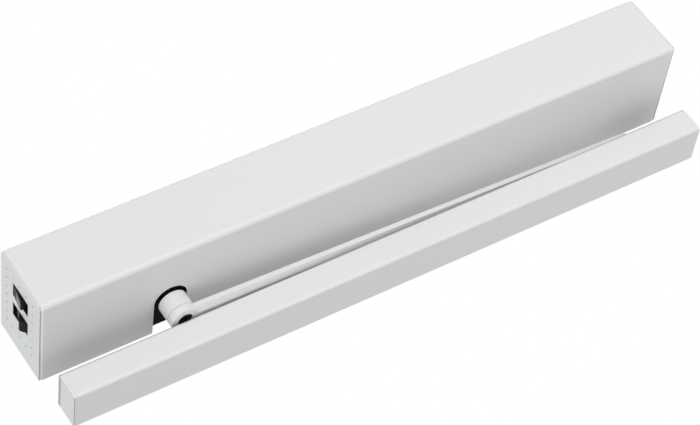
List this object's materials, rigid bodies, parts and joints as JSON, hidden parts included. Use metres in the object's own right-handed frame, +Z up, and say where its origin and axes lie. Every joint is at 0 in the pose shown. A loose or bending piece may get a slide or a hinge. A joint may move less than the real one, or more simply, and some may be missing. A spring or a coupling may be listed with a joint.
{
  "type": "swing door operator",
  "caption": "Slim wall-mounted swing door drive with a flat slide arm on its lower spindle, a door channel with a slide block, and two rocker switches in an end cap.",
  "frame": {"origin": "centre of the four wall bolt holes, on the wall plane at the back of the mounting plate", "axes": "+X along the housing towards the end away from the spindle, +Y into the wall, +Z up"},
  "size_m": [0.6574, 0.0985, 0.1244],
  "materials": {
    "white_cover": "satin white powder coat",
    "white_cap": "fine satin, slightly cool white",
    "white_paint": "satin white powder coat",
    "zinc_steel": "zinc plated",
    "spring_steel": "oiled spring steel",
    "cast_aluminium": "cast, blasted",
    "black_casting": "black painted casting",
    "bearing_steel": "ground",
    "machined_steel": "turned",
    "motor_black": "black satin",
    "black_plastic": "fine matt",
    "black_steel": "black oxide",
    "circuit_board": "solder resist",
    "component_black": "moulded",
    "natural_plastic": "natural",
    "green_plastic": "moulded",
    "black_rubber": "matt",
    "slide_plastic": "wear-resistant slide plastic",
    "anodised_aluminium": "natural anodised",
    "rocker_black": "gloss"
  },
  "bodies": {
    "housing": {"mounting_plate": "zinc_steel", "housing_cover": "white_cover", "left_end_cap": "white_cap", "right_end_cap": "white_cap", "left_end_bracket": "zinc_steel", "right_end_bracket": "zinc_steel", "cover_clips": "spring_steel", "gear_case": "black_casting", "upper_bearing_plate": "black_casting", "lower_bearing": "bearing_steel", "upper_bearing": "bearing_steel", "bevel_gearbox": "cast_aluminium", "planetary_stage": "machined_steel", "drive_motor": "motor_black", "motor_encoder": "black_plastic", "motor_saddle": "zinc_steel", "spring_abutment": "cast_aluminium", "preload_screw": "black_steel", "spring_guide": "machined_steel", "closing_spring": "spring_steel", "program_switch": "black_plastic", "power_switch": "black_plastic", "control_board": "circuit_board", "board_parts": "component_black", "board_standoffs": "natural_plastic", "terminal_block": "green_plastic", "power_supply": "zinc_steel", "cable_grommet": "black_rubber", "bearing_plate_screws": "black_steel", "case_screws": "black_steel", "cap_screws": "zinc_steel", "bracket_screws": "zinc_steel"},
    "spindle": {"spindle": "machined_steel", "spindle_gear": "machined_steel", "rack_pinion": "machined_steel", "spindle_key": "machined_steel", "spindle_circlip": "spring_steel", "spindle_sleeve": "white_paint", "swing_arm": "white_paint", "arm_screw": "black_steel", "pivot_pin": "machined_steel"},
    "rack": {"spring_rack": "machined_steel"},
    "pinion": {"motor_pinion": "machined_steel"},
    "slider": {"slide_block": "slide_plastic"},
    "channel": {"channel_rail": "anodised_aluminium", "channel_cover": "white_cover", "channel_left_cap": "white_cap", "channel_right_cap": "white_cap", "channel_buffers": "black_rubber"},
    "program_rocker": {"program_rocker": "rocker_black"},
    "power_rocker": {"power_rocker": "rocker_black"}
  },
  "joints": [
    {"name": "arm_swing", "type": "hinge", "parent": "housing", "child": "spindle", "pos_m": [-0.2006, -0.0382, 0], "axis": [0, 0, 1], "range_deg": [-110, 0], "stiffness_Nm_per_rad": 6, "springref_deg": 68.75},
    {"name": "rack_slide", "type": "slide", "parent": "housing", "child": "rack", "axis": [1, 0, 0], "range_m": [0, 0.0289], "deforming": ["closing_spring"]},
    {"name": "pinion_spin", "type": "hinge", "parent": "housing", "child": "pinion", "pos_m": [-0.17737, -0.07138, 0], "axis": [0, 0, 1], "range_deg": [0, 262]},
    {"name": "block_swivel", "type": "hinge", "parent": "spindle", "child": "slider", "pos_m": [0.26404, -0.01994, -0.06], "axis": [0, 0, 1], "continuous": true},
    {"name": "channel_slide", "type": "slide", "parent": "slider", "child": "channel", "axis": [1, 0, 0], "range_m": [-0.0315, 0.5525]},
    {"name": "program_rock", "type": "hinge", "parent": "housing", "child": "program_rocker", "pos_m": [-0.319, -0.0719, -0.0006], "axis": [0, 1, 0], "range_deg": [0, 24]},
    {"name": "power_rock", "type": "hinge", "parent": "housing", "child": "power_rocker", "pos_m": [-0.319, -0.0463, -0.0006], "axis": [0, 1, 0], "range_deg": [-24, 0]}
  ],
  "couplings": [
    {"joint": "rack_slide", "follows": "arm_swing", "m_per_rad": -0.015},
    {"joint": "pinion_spin", "follows": "arm_swing", "ratio": -2.375}
  ]
}
